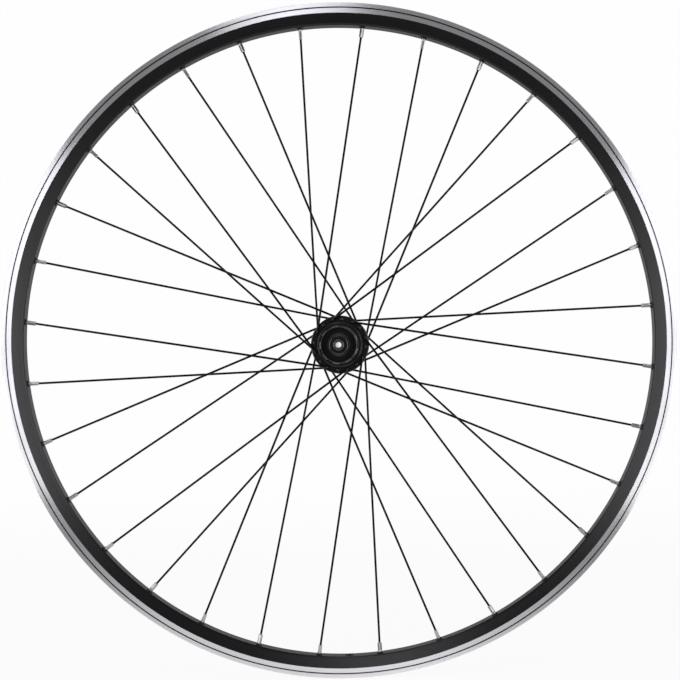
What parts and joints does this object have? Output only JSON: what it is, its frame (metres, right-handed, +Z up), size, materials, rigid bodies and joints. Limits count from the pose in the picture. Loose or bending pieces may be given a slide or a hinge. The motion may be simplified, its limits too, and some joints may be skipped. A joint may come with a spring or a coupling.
{
  "type": "rear bicycle wheel",
  "caption": "Spoked rear bicycle wheel for rim brakes: hooked double-wall rim with machined tracks, crossed wire spokes and a splined freehub on a hollow axle.",
  "frame": {"origin": "middle of the axle in the rim's mid-plane", "axes": "+Y along the axle to the left side, +Z up with the valve hole at the bottom, +X forwards; the drive side faces -Y"},
  "size_m": [0.6339, 0.145, 0.634],
  "materials": {
    "rim_alloy": "black anodised with bare machined brake tracks",
    "eyelet_steel": "bright plated",
    "nipple_brass": "nickel plated",
    "spoke_steel": "black coated",
    "hub_alloy": "black anodised",
    "axle_alloy": "turned",
    "cap_alloy": "dark anodised",
    "bearing_steel": "ground",
    "freehub_steel": "black oxide",
    "seal_rubber": "matte",
    "dust_plastic": "matte"
  },
  "bodies": {
    "axle_set": {"axle": "axle_alloy", "right_end_cap": "cap_alloy", "left_end_cap": "cap_alloy", "hub_spacer": "axle_alloy", "freehub_spacer": "axle_alloy", "left_bearing_inner_ring": "bearing_steel", "right_bearing_inner_ring": "bearing_steel", "freehub_inner_bearing_inner_ring": "bearing_steel", "freehub_outer_bearing_inner_ring": "bearing_steel"},
    "wheel": {"rim": "rim_alloy", "eyelets": "eyelet_steel", "nipples": "nipple_brass", "spoke_01": "spoke_steel", "spoke_02": "spoke_steel", "spoke_03": "spoke_steel", "spoke_04": "spoke_steel", "spoke_05": "spoke_steel", "spoke_06": "spoke_steel", "spoke_07": "spoke_steel", "spoke_08": "spoke_steel", "spoke_09": "spoke_steel", "spoke_10": "spoke_steel", "spoke_11": "spoke_steel", "spoke_12": "spoke_steel", "spoke_13": "spoke_steel", "spoke_14": "spoke_steel", "spoke_15": "spoke_steel", "spoke_16": "spoke_steel", "spoke_17": "spoke_steel", "spoke_18": "spoke_steel", "spoke_19": "spoke_steel", "spoke_20": "spoke_steel", "spoke_21": "spoke_steel", "spoke_22": "spoke_steel", "spoke_23": "spoke_steel", "spoke_24": "spoke_steel", "spoke_25": "spoke_steel", "spoke_26": "spoke_steel", "spoke_27": "spoke_steel", "spoke_28": "spoke_steel", "spoke_29": "spoke_steel", "spoke_30": "spoke_steel", "spoke_31": "spoke_steel", "spoke_32": "spoke_steel", "hub_shell": "hub_alloy", "left_bearing_outer_ring": "bearing_steel", "right_bearing_outer_ring": "bearing_steel", "left_dust_cap": "dust_plastic", "ratchet_ring": "bearing_steel"},
    "freehub": {"freehub_body": "freehub_steel", "freehub_inner_bearing_outer_ring": "bearing_steel", "freehub_outer_bearing_outer_ring": "bearing_steel", "pawls": "bearing_steel", "pawl_spring": "bearing_steel", "freehub_seal": "seal_rubber"}
  },
  "joints": [
    {"name": "wheel_spin", "type": "hinge", "parent": "axle_set", "child": "wheel", "pos_m": [0, 0, 0], "axis": [0, 1, 0], "continuous": true},
    {"name": "freehub_spin", "type": "hinge", "parent": "axle_set", "child": "freehub", "pos_m": [0, 0, 0], "axis": [0, 1, 0], "continuous": true}
  ]
}
